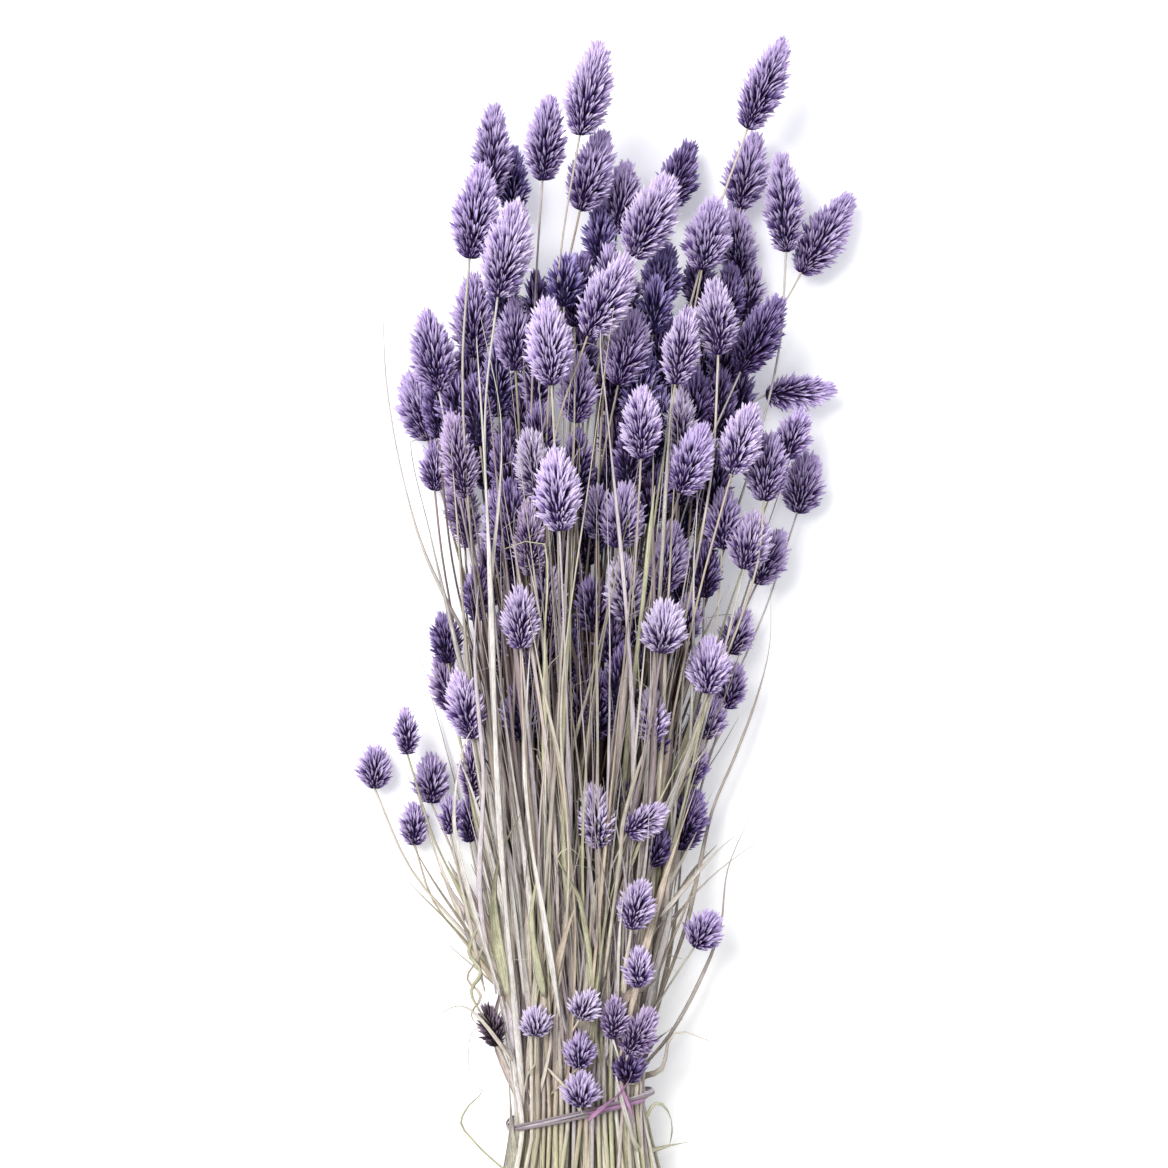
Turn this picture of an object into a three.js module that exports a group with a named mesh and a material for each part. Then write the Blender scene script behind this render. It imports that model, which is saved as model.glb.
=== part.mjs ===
// A bunch of dried canary grass, dyed purple, tied near its cut ends and lying on a surface.
// Millimetres, +Z up. The stems run along +Y from the cut ends to the seed heads, +X is the right side.
// The bunch is laid out from the middle of its tie, then moved so that the origin is on the surface,
// under the middle of the whole bunch.
import * as THREE from 'three';

// Driving dimensions of the bunch
const REACH = 540;          // from the tie to the tip of the longest culm
const SPREAD = 254;         // from the leftmost to the rightmost seed head
const DEPTH = 92;           // height of the heap of seed heads
const CUT_LENGTH = 78;      // from the tie to the cut ends
const CUT_FAN = 1.2;        // how much wider the cut ends stand than the stems in the tie

// Driving dimensions of its pieces
const HEAD_LENGTH = 45;     // a full-grown seed head
const HEAD_WIDTH = 21;
const STEM_AT_CUT = 2.8;    // diameter of a stem at its cut end
const STEM_AT_HEAD = 1.6;   // and where it enters its seed head
const LEAF_WIDTH = 5;       // a full-grown blade
const LEAF_THICKNESS = 0.8;
const TIE_WIDTH = 78;       // outside of the flattened loop, across the bunch
const TIE_HEIGHT = 40;      // outside of the loop, from the surface up
const TIE_BAND = 3;         // width of the strand along the stems
const TIE_THICKNESS = 1.6;
const TIE_SLANT = THREE.MathUtils.degToRad(14);  // its right side sits nearer to the seed heads
const GAP = 0.4;            // air left between neighbours
const TIE_ROOM = 0.5;       // more air between the tie and the outermost stems
const BEYOND_TIE = 4;       // every stalk runs straight this far on each side of the strand

// Fineness of the solids
const STEM_STEP = 50;       // length of stem between two of its rings
const LEAF_STEP = 30;
const STEM_SIDES = 6;
const TIE_ARC_STEPS = 10;
const MOST_ROUNDS = 600;    // of the bunch settling
const SMOOTH_ROUNDS = 260;  // those in which the stems also straighten themselves

// How the stalks bend and give way, all as shares
const ROW_CROWDING = 1.1;   // rows of stems in the tie, against an even spread both ways
const BEND_AT_TIE = 0.35;   // of a stem's length that still follows the bunch after the tie
const BEND_AT_HEAD = 0.25;  // and that already follows its seed head
const BLADE_ENDS = { slope: 3, foot: 0.5, tip: 0.15 };  // how a blade's width comes and goes along it
const LIFT = 0.35;          // how readily the upper of two stalks climbs over the lower one
const EACH_YIELDS = 0.55;   // of the missing room, so that both together clear it
const LEAST_STEP = 0.01;    // millimetres that two stalks always move apart
const END_YIELDS = 1.5;     // how far the nearer end of a pushed stretch goes, against the push
const STIFFNESS = 0.5;      // of a ring's move that is shared with its neighbours in each round

// The layout below was drawn for a bunch of these sizes. It is scaled to the driving dimensions.
const LAYOUT = { reach: 540, spread: 254, depth: 92, headLength: 45, headWidth: 21, leafWidth: 5 };

// One culm: where the middle of its seed head lies, as its distance along the bunch from the tie, to the
// right of the middle and above the surface, then the head's length and width, and its lean to the right.
const CULMS = [
  [510, 3, 56, 47, 21, 12], [487, -15, 50, 42, 19, 5], [483, -44, 34, 47, 18, 2],
  [450, -51, 52, 47, 22, 8], [430, -36, 64, 48, 23, 12], [472, 6, 40, 41, 21, 17],
  [461, 21, 24, 37, 20, 8], [446, 35, 58, 44, 24, 25], [473, 50, 14, 37, 19, 22],
  [516, 93, 38, 49, 19, 22], [476, 85, 14, 39, 20, 12], [458, 103, 26, 50, 18, -3],
  [444, 125, 14, 47, 21, 32], [439, 64, 46, 36, 21, 10], [382, -74, 40, 41, 21, -10],
  [356, -82, 14, 36, 21, -15], [401, -54, 26, 42, 20, 0], [407, 14, 70, 44, 22, 28],
  [383, -14, 78, 42, 21, -4], [397, 67, 60, 37, 19, -3], [390, 90, 42, 42, 20, 28],
  [383, 24, 50, 39, 21, 15], [382, 50, 68, 38, 17, 10], [344, 30, 76, 35, 18, 1],
  [327, 55, 66, 36, 20, 20], [337, 80, 60, 36, 19, 17], [363, 112, 24, 36, 17, 86],
  [317, 114, 12, 31, 20, 12], [305, -63, 16, 44, 16, -12], [311, -9, 81, 40, 21, -3],
  [249, -29, 74, 30, 17, 0], [239, -67, 26, 26, 16, -5], [299, 21, 62, 32, 20, 10],
  [279, 44, 50, 35, 19, 8], [245, 40, 66, 26, 21, 5], [287, 85, 40, 29, 21, 12],
  [240, 83, 12, 24, 16, 20], [225, 64, 50, 28, 20, 5], [200, 34, 60, 27, 16, -2],
  [151, 10, 56, 32, 16, -8], [145, 55, 26, 32, 19, 18], [107, 28, 54, 25, 17, 12],
  [92, 62, 34, 20, 18, 30], [57, 3, 53, 16, 15, 25], [42, -45, 22, 22, 12, -15],
  [191, -88, 22, 24, 12, -3], [172, -105, 10, 22, 16, 0], [166, -76, 10, 25, 17, 0],
];

// One blade: its width, then points on its way from the tie to its tip, each as distances along the
// bunch, to the right and above the surface. The last but one is a headless stalk.
const LEAVES = [
  [2.4, [208, -46, 34], [283, -80, 26], [358, -98, 18], [429, -102, 14]],
  [4, [90, 52, 20], [153, 66, 16], [193, 83, 14], [238, 95, 12], [264, 95, 12]],
  [5, [60, 38, 34], [95, 50, 34], [128, 83, 32], [145, 110, 34]],
  [4.4, [36, 46, 16], [83, 70, 12], [128, 77, 14], [147, 86, 18]],
  [4, [18, 40, 28], [40, 48, 34], [40, 58, 36], [36, 66, 36]],
  [5, [150, -40, 62], [240, -43, 74], [320, -46, 80], [385, -50, 86]],
  [2.2, [120, -6, 62], [208, -10, 80], [323, 4, 88], [400, 15, 88]],
  [5, [60, -30, 5], [140, -42, 4], [220, -30, 4], [300, -40, 5]],
];

// Rings of a seed head, from the stem to the tip: share of its length, share of its half width.
const HEAD_RINGS = [[0.04, 0.5], [0.2, 0.9], [0.42, 1], [0.66, 0.82], [0.87, 0.46], [1, 0.1]];

const DYED_HEAD = new THREE.MeshStandardMaterial({ color: 0x7a6aa0, roughness: 0.85, metalness: 0 });
const DRY_LEAF = new THREE.MeshStandardMaterial({ color: 0xb9b2a6, roughness: 0.8, metalness: 0 });
const MAUVE_STRAND = new THREE.MeshStandardMaterial({ color: 0xb79bb4, roughness: 0.7, metalness: 0 });

// A place in the layout, as a point of the real bunch.
function placed([along, side, height]) {
  return new THREE.Vector3(
    side * SPREAD / LAYOUT.spread, along * REACH / LAYOUT.reach, height * DEPTH / LAYOUT.depth);
}

// Everything that runs through the tie is a stalk: a culm or a blade, as a row of rings. Each ring has a
// middle, a half width across the stalk and a half height.
function ring(middle, halfWidth, halfHeight = halfWidth) {
  return { middle, halfWidth, halfHeight };
}

// Half of the straight run that every stalk makes through the slanting tie.
const TIE_RUN = TIE_BAND / 2 / Math.cos(TIE_SLANT) + BEYOND_TIE;

// Slots inside the tie: rows from the surface up, evenly filled, each point on the tie's slanting plane.
function tieSlots(count) {
  const margin = STEM_AT_CUT / 2 + GAP + TIE_ROOM;
  const halfWidth = TIE_WIDTH / 2 - TIE_THICKNESS;
  const halfHeight = TIE_HEIGHT / 2 - TIE_THICKNESS;
  const rowCount = Math.round(Math.sqrt(count * halfHeight / halfWidth * ROW_CROWDING));
  const rows = [];
  for (let row = 0; row < rowCount; row++) {
    const height = (halfHeight - margin) * (2 * row / (rowCount - 1) - 1);
    const bulge = Math.sqrt(Math.max(0, (halfHeight - margin) ** 2 - height ** 2));
    const chord = halfWidth - halfHeight + bulge;
    rows.push({ height: TIE_HEIGHT / 2 + height, chord });
  }
  const allChords = rows.reduce((sum, row) => sum + row.chord, 0);
  let filled = 0;
  let share = 0;
  return rows.map(({ height, chord }) => {
    share += chord;
    const places = Math.round(count * share / allChords) - filled;
    filled += places;
    return Array.from({ length: places }, (_, place) => {
      const across = chord * (2 * (place + 0.5) / places - 1);
      return new THREE.Vector3(across * Math.cos(TIE_SLANT), across * Math.sin(TIE_SLANT), height);
    });
  });
}

// Low stalks take the low rows, and within a row those that lean furthest left come first.
function takeSlots(stalks) {
  const waiting = [...stalks].sort((a, b) => a.layer - b.layer);
  for (const row of tieSlots(stalks.length)) {
    const taking = waiting.splice(0, row.length).sort((a, b) => a.bearing - b.bearing);
    taking.forEach((stalk, place) => { stalk.slot = row[place]; });
  }
}

// The rings from the cut end to where the stalk leaves the tie.
function ringsThroughTie(slot, halfWidth, halfHeight = halfWidth) {
  const middle = TIE_HEIGHT / 2;
  const cutEnd = new THREE.Vector3(slot.x * CUT_FAN, -CUT_LENGTH, middle + (slot.z - middle) * CUT_FAN);
  cutEnd.z = Math.max(cutEnd.z, halfHeight);
  const run = new THREE.Vector3(0, TIE_RUN, 0);
  return [cutEnd, slot.clone().sub(run), slot.clone().add(run)].map((m) => ring(m, halfWidth, halfHeight));
}

function culmRings(culm) {
  const [, , , length, width, lean] = culm.plan;
  const headLength = length * HEAD_LENGTH / LAYOUT.headLength;
  const headHalf = width * HEAD_WIDTH / LAYOUT.headWidth / 2;
  const angle = THREE.MathUtils.degToRad(lean);
  const axis = new THREE.Vector3(Math.sin(angle), Math.cos(angle), 0);
  const base = placed(culm.plan).addScaledVector(axis, -headLength / 2);
  const rings = ringsThroughTie(culm.slot, STEM_AT_CUT / 2);
  const start = rings.at(-1).middle;
  const distance = start.distanceTo(base);
  const way = new THREE.CubicBezierCurve3(
    start, start.clone().add(new THREE.Vector3(0, distance * BEND_AT_TIE, 0)),
    base.clone().addScaledVector(axis, -distance * BEND_AT_HEAD), base);
  const steps = Math.max(3, Math.round(distance / STEM_STEP));
  for (const [step, point] of way.getSpacedPoints(steps).entries()) {
    const taper = THREE.MathUtils.lerp(STEM_AT_CUT, STEM_AT_HEAD, step / steps) / 2;
    if (step > 0) rings.push(ring(point, taper));
  }
  culm.headStart = rings.length - 1;  // the ring at the head's base moves with the head
  for (const [along, across] of HEAD_RINGS) {
    rings.push(ring(base.clone().addScaledVector(axis, along * headLength), across * headHalf));
  }
  return rings;
}

function leafRings(leaf) {
  const [width, ...places] = leaf.plan;
  const halfWidth = width * LEAF_WIDTH / LAYOUT.leafWidth / 2;
  const halfThickness = LEAF_THICKNESS / 2;
  const rings = ringsThroughTie(leaf.slot, Math.min(halfWidth, STEM_AT_CUT / 2), halfThickness);
  const way = new THREE.CatmullRomCurve3([rings.at(-1).middle, ...places.map(placed)], false, 'centripetal');
  const steps = Math.max(3, Math.round(way.getLength() / LEAF_STEP));
  for (const [step, point] of way.getSpacedPoints(steps).entries()) {
    const share = step / steps;
    const { slope, foot, tip } = BLADE_ENDS;
    const taper = Math.min(1, slope * share + foot, slope * (1 - share) + tip);
    if (step > 0) rings.push(ring(point, halfWidth * taper, halfThickness));
  }
  leaf.headStart = rings.length;
  return rings;
}

const lineA = new THREE.Line3();
const lineB = new THREE.Line3();
const nearA = new THREE.Vector3();
const nearB = new THREE.Vector3();
const away = new THREE.Vector3();

function shareAlong(line, point) {
  const length = line.distance();
  return length > 0 ? line.start.distanceTo(point) / length : 0;
}

function push(stalk, index, share, direction, amount) {
  const [low, high] = [stalk.rings[index], stalk.rings[index + 1]];
  if (!low.pinned) low.middle.addScaledVector(direction, amount * Math.min(1, END_YIELDS * (1 - share)));
  if (!high.pinned) high.middle.addScaledVector(direction, amount * Math.min(1, END_YIELDS * share));
}

// Moves two stalks apart where the capsules around two of their stretches come too close. Where the
// stalks cross, the one of the higher layer goes over the other.
function partStretches(a, i, b, j) {
  lineA.set(a.rings[i].middle, a.rings[i + 1].middle);
  lineB.set(b.rings[j].middle, b.rings[j + 1].middle);
  const room = a.reaches[i] + b.reaches[j] + GAP;
  const distance = Math.sqrt(lineA.distanceSqToLine3(lineB, nearA, nearB));
  if (distance >= room) return false;
  away.subVectors(nearA, nearB);
  away.z += (a.layer > b.layer ? 1 : -1) * LIFT * room;
  away.normalize();
  const amount = (room - distance) * EACH_YIELDS + LEAST_STEP;
  push(a, i, shareAlong(lineA, nearA), away, amount);
  push(b, j, shareAlong(lineB, nearB), away, -amount);
  return true;
}

function partStalks(a, b) {
  let touched = false;
  for (let i = 0; i + 1 < a.rings.length; i++) {
    const [startA, endA] = [a.rings[i].middle.y, a.rings[i + 1].middle.y];
    for (let j = 0; j + 1 < b.rings.length; j++) {
      const room = a.reaches[i] + b.reaches[j] + GAP;
      const [startB, endB] = [b.rings[j].middle.y, b.rings[j + 1].middle.y];
      if (Math.max(startA, endA) + room < Math.min(startB, endB)) break;
      if (Math.min(startA, endA) - room > Math.max(startB, endB)) continue;
      touched = partStretches(a, i, b, j) || touched;
    }
  }
  return touched;
}

// A stem shares out how far it was moved along its length, and a seed head moves in one piece.
function straighten(stalk) {
  const { rings, rest, headStart } = stalk;
  const moved = rings.map((one, index) => one.middle.clone().sub(rest[index]));
  const heads = moved.slice(headStart);
  const headMoved = new THREE.Vector3();
  heads.forEach((one) => headMoved.addScaledVector(one, 1 / heads.length));
  moved.forEach((one, index) => {
    if (index >= headStart) one.copy(headMoved);
  });
  rings.forEach((one, index) => {
    if (one.pinned) return;
    const next = moved[Math.min(index + 1, moved.length - 1)];
    const share = moved[index - 1].clone().add(next).multiplyScalar(0.5);
    const kept = index >= headStart ? moved[index] : moved[index].clone().lerp(share, STIFFNESS);
    one.middle.copy(rest[index]).add(kept);
  });
}

// The stalks push each other apart and rest on the surface, as a bunch does when it is laid down.
function settle(stalks) {
  for (const stalk of stalks) {
    stalk.rest = stalk.rings.map((one) => one.middle.clone());
    stalk.rings.slice(0, 3).forEach((one) => { one.pinned = true; });
    stalk.reaches = stalk.rings.slice(1).map((one, index) =>
      Math.max(one.halfWidth, stalk.rings[index].halfWidth));
  }
  for (let round = 0, touched = true; round < MOST_ROUNDS && touched; round++) {
    touched = round < SMOOTH_ROUNDS;
    for (let a = 0; a < stalks.length; a++) {
      for (let b = a + 1; b < stalks.length; b++) touched = partStalks(stalks[a], stalks[b]) || touched;
    }
    if (round < SMOOTH_ROUNDS) stalks.forEach(straighten);
    for (const { rings } of stalks) {
      rings.forEach((one) => { one.middle.z = Math.max(one.middle.z, one.halfHeight); });
    }
  }
}

// A solid through the rings: a turned blank whose sections are moved onto the stalk's own rings.
function stalkGeometry(rings) {
  const outline = rings.map((_, index) => new THREE.Vector2(1, index));
  outline.unshift(new THREE.Vector2(0, 0));
  outline.push(new THREE.Vector2(0, rings.length - 1));
  const blank = new THREE.LatheGeometry(outline, STEM_SIDES);
  const positions = blank.getAttribute('position');
  const sections = rings.map((one, index) => {
    const before = rings[Math.max(index - 1, 0)].middle;
    const after = rings[Math.min(index + 1, rings.length - 1)].middle;
    const along = after.clone().sub(before).normalize();
    const side = new THREE.Vector3().crossVectors(along, new THREE.Vector3(0, 0, 1)).normalize();
    return { side, up: new THREE.Vector3().crossVectors(side, along) };
  });
  for (let vertex = 0; vertex < positions.count; vertex++) {
    const index = Math.round(positions.getY(vertex));
    const point = rings[index].middle.clone()
      .addScaledVector(sections[index].side, positions.getX(vertex) * rings[index].halfWidth)
      .addScaledVector(sections[index].up, positions.getZ(vertex) * rings[index].halfHeight);
    positions.setXYZ(vertex, point.x, point.y, point.z);
  }
  blank.computeVertexNormals();
  return blank;
}

function named(name, geometry, material) {
  const mesh = new THREE.Mesh(geometry, material);
  mesh.name = name;
  return mesh;
}

function numbered(name, index) {
  return `${name}_${String(index + 1).padStart(2, '0')}`;
}

// The flattened loop's outline, as a shape or as the hole in it.
function loopOutline(outline, width, height) {
  const radius = height / 2;
  const straight = width / 2 - radius;
  outline.absarc(straight, 0, radius, -Math.PI / 2, Math.PI / 2, false);
  outline.absarc(-straight, 0, radius, Math.PI / 2, 1.5 * Math.PI, false);
  outline.closePath();
  return outline;
}

// The tie: one strand around every stem, its lower run pressed flat on the surface.
function tie() {
  const loop = loopOutline(new THREE.Shape(), TIE_WIDTH, TIE_HEIGHT);
  const inside = loopOutline(new THREE.Path(), TIE_WIDTH - 2 * TIE_THICKNESS, TIE_HEIGHT - 2 * TIE_THICKNESS);
  loop.holes.push(inside);
  const geometry = new THREE.ExtrudeGeometry(loop, {
    depth: TIE_BAND, bevelEnabled: false, curveSegments: TIE_ARC_STEPS,
  });
  geometry.translate(0, 0, -TIE_BAND / 2);
  geometry.rotateX(Math.PI / 2);
  const mesh = named('tie', geometry, MAUVE_STRAND);
  mesh.position.z = TIE_HEIGHT / 2;
  mesh.rotation.z = TIE_SLANT;
  return mesh;
}

function stalks() {
  const culms = CULMS.map((plan, index) => {
    const [along, side, height] = plan;
    return { name: numbered('culm', index), plan, layer: height, bearing: side / along };
  });
  const leaves = LEAVES.map((plan, index) => {
    const [along, side, height] = plan[1];
    return { name: numbered('leaf', index), plan, leaf: true, layer: height, bearing: side / along };
  });
  const all = [...culms, ...leaves];
  takeSlots(all);
  all.forEach((stalk) => { stalk.rings = stalk.leaf ? leafRings(stalk) : culmRings(stalk); });
  settle(all);
  return all;
}

const layout = new THREE.Group();
layout.add(tie());
for (const stalk of stalks()) {
  layout.add(named(stalk.name, stalkGeometry(stalk.rings), stalk.leaf ? DRY_LEAF : DYED_HEAD));
}

const box = new THREE.Box3().setFromObject(layout, true);
const middle = box.getCenter(new THREE.Vector3());
layout.position.set(-middle.x, -middle.y, -box.min.z);

const bunch = new THREE.Group();
bunch.add(layout);
bunch.updateMatrixWorld(true);

export default bunch;
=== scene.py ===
"""A tied bunch of dried canary grass, dyed purple, lying on a pale table and seen from above.

Each culm is one piece: stem, leaf sheaths, blades and the seed head with all its spikelets. The culms and
blades of the CAD frame keep their places, and the rest of the bunch is laid between them.
"""

import math
import random

import bmesh
import bpy
from mathutils import Matrix, Vector, kdtree, noise
from mathutils.geometry import interpolate_bezier


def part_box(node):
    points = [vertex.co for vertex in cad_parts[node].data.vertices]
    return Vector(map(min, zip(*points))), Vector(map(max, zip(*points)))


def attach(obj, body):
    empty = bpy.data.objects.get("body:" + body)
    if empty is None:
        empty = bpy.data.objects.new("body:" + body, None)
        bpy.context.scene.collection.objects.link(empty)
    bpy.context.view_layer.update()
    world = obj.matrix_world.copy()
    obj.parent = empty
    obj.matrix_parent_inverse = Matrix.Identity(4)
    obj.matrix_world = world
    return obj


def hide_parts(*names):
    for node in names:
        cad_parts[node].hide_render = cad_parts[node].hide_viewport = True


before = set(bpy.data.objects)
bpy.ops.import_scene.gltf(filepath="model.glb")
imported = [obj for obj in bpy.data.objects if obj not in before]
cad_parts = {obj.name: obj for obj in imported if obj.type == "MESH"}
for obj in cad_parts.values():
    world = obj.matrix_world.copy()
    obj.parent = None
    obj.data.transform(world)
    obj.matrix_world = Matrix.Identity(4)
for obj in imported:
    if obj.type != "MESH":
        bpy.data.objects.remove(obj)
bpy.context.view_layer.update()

MM = 0.001
UP = Vector((0, 0, 1))
SEED = 7
LEAF_SEEDS, BLADE_SEEDS, STRAW_SEEDS = 300, 400, 500
GOLDEN_ANGLE = math.pi * (3 - math.sqrt(5))
noise.seed_set(SEED)                   # or the noise would change with the clock

TIE_LOW, TIE_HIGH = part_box("tie")
TIE_MIDDLE = (TIE_LOW + TIE_HIGH) / 2
TIE_SLANT = math.radians(14)

STEM_RADIUS = (1.35 * MM, 0.62 * MM)   # at the cut end, and under the seed head
CUT_LENGTH = 78 * MM                   # from the cut ends to the tie
STEM_STEP = 11 * MM                    # between the rings of a stem
BLADE_STEP = 7 * MM                    # between the rings of a blade
SHORT_BLADE_STEP = 3.5 * MM            # the same on blades with sharp bends
BLADE_THICKNESS = 0.16 * MM
STRAND_ROOM = 1.6 * MM                 # what the tie's strands take up inside the tie's box
FLOOR_ROOM = 0.6 * MM                  # the lowest that a blade's middle may lie

# Dye of a seed head: the colour deep between its spikelets (the dye darkened as painted shade), its scales,
# their pale tips, and how far up a scale the pale tip begins.
DYES = {
    "bright": ((0.040, 0.019, 0.092), (0.210, 0.120, 0.405), (0.860, 0.735, 0.985), 0.44),
    "mid":    ((0.028, 0.013, 0.070), (0.165, 0.092, 0.330), (0.770, 0.640, 0.940), 0.47),
    "deep":   ((0.014, 0.007, 0.035), (0.090, 0.049, 0.195), (0.500, 0.390, 0.720), 0.58),
    "blue":   ((0.015, 0.009, 0.048), (0.100, 0.064, 0.250), (0.530, 0.440, 0.800), 0.56),
    "grey":   ((0.040, 0.022, 0.082), (0.210, 0.135, 0.360), (0.850, 0.750, 0.955), 0.42),
    "pink":   ((0.040, 0.019, 0.078), (0.205, 0.112, 0.345), (0.790, 0.645, 0.905), 0.48),
    "brown":  ((0.016, 0.009, 0.018), (0.095, 0.055, 0.090), (0.440, 0.330, 0.430), 0.60),
}

# Straw colours, pale and dry, some taken a little by the dye and some still green.
STRAWS = {
    "cream": (0.780, 0.715, 0.600), "straw": (0.800, 0.740, 0.650), "grey": (0.740, 0.690, 0.640),
    "lilac": (0.770, 0.700, 0.770), "green": (0.640, 0.640, 0.440), "tan": (0.680, 0.580, 0.470),
    "white": (0.840, 0.810, 0.780), "dusk": (0.500, 0.410, 0.370), "rose": (0.740, 0.640, 0.620),
    "mauve": (0.420, 0.340, 0.360), "pink": (0.640, 0.330, 0.600),
}
COMMON_STRAWS = ("cream", "straw", "grey", "lilac", "green", "tan", "white", "white", "rose", "mauve")
GREEN_STRAW = Vector((0.650, 0.635, 0.380))
# Painted shade: straws darken toward this colour the deeper they lie inside the bunch.
PAINTED_SHADE_DEEP_IN_BUNCH = Vector((0.25, 0.185, 0.195))    # what is left of a straw's colour deep inside the bunch

# What the seed heads of the CAD culms look like, in their order.
CAD_DYES = (
    "bright mid mid mid bright mid mid bright deep mid mid mid mid mid mid mid mid bright bright bright "
    "deep mid bright bright mid bright mid mid pink bright bright deep mid mid grey bright mid bright "
    "bright grey deep bright mid grey brown mid mid mid").split()

# The other culms whose heads show: middle of the head as distances in mm along the bunch from the tie, to
# its right and above the table, then the head's length and width in mm, its lean to the right in degrees,
# and its dye.
MORE_CULMS = [
    (470, -34, 20, 34, 15, 0, "blue"), (441, 10, 28, 32, 16, 0, "blue"), (441, 80, 12, 40, 18, -5, "mid"),
    (375, -57, 20, 38, 15, 5, "deep"), (390, -32, 40, 36, 19, 0, "mid"), (413, -1, 34, 37, 19, 5, "deep"),
    (362, -1, 56, 34, 18, 4, "mid"), (357, -66, 26, 35, 16, 0, "deep"), (326, -74, 14, 26, 15, 0, "mid"),
    (332, -56, 38, 44, 17, -10, "pink"), (351, -30, 28, 28, 16, 0, "deep"), (334, -36, 30, 28, 14, 0, "deep"),
    (325, -23, 60, 34, 18, -8, "grey"), (420, 41, 34, 34, 19, 8, "blue"), (410, 75, 26, 34, 16, 5, "deep"),
    (382, 41, 38, 38, 21, 8, "deep"), (358, 60, 34, 31, 18, 0, "deep"), (341, 108, 26, 26, 17, 20, "mid"),
    (340, 17, 34, 31, 15, 0, "deep"), (345, 46, 42, 34, 15, 0, "grey"), (420, 60, 24, 31, 16, 0, "deep"),
    (301, 9, 56, 27, 14, 0, "mid"), (288, -26, 62, 37, 15, -3, "pink"), (261, -52, 30, 28, 13, 0, "deep"),
    (273, 62, 34, 29, 17, 0, "deep"), (264, 22, 58, 33, 18, -3, "grey"), (238, 15, 46, 24, 16, 0, "deep"),
    (249, 54, 38, 24, 12, 0, "mid"), (298, 72, 36, 30, 18, 3, "mid"), (324, 93, 46, 34, 20, 5, "mid"),
    (279, 96, 20, 30, 17, 25, "mid"), (214, 77, 22, 24, 15, 15, "mid"), (198, 65, 26, 23, 18, 15, "mid"),
    (176, 58, 24, 23, 15, 10, "mid"), (188, 38, 46, 21, 13, 0, "deep"), (212, 18, 34, 26, 16, 0, "deep"),
    (163, 24, 44, 25, 15, 8, "deep"), (149, 33, 56, 24, 14, 55, "bright"), (134, 38, 38, 20, 17, 10, "deep"),
    (75, 29, 49, 20, 15, 0, "bright"), (50, 17, 47, 22, 13, 3, "pink"), (42, 30, 42, 26, 17, 28, "pink"),
    (48, -22, 47, 15, 16, 0, "grey"), (32, 0, 47, 18, 15, 5, "mid"), (15, 0, 47, 17, 18, 0, "bright"),
    (25, 24, 34, 20, 17, 0, "deep"), (91, 11, 32, 30, 9, 0, "deep"), (143, -85, 9, 22, 14, -3, "mid"),
    (148, -66, 14, 20, 11, 0, "mid"), (146, -56, 16, 24, 12, 0, "deep"), (217, -67, 22, 30, 16, -10, "pink"),
    (205, -58, 34, 35, 18, -12, "bright"), (172, -55, 20, 30, 13, 0, "pink"),
    (175, -35, 24, 28, 12, 0, "mid"),
]
HIDDEN_CULMS = 84          # whose heads lie under the others
HIDDEN_FULLNESS = 0.5      # share of the spikelets that those heads keep
LOOSE_STRAWS = 170         # headless stalks and blades on top of the stems

# The colours of the CAD frame's blades, in their order.
LEAF_COLOURS = ("grey", "straw", "grey", "grey", "straw", "white", "cream", "tan")

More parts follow.
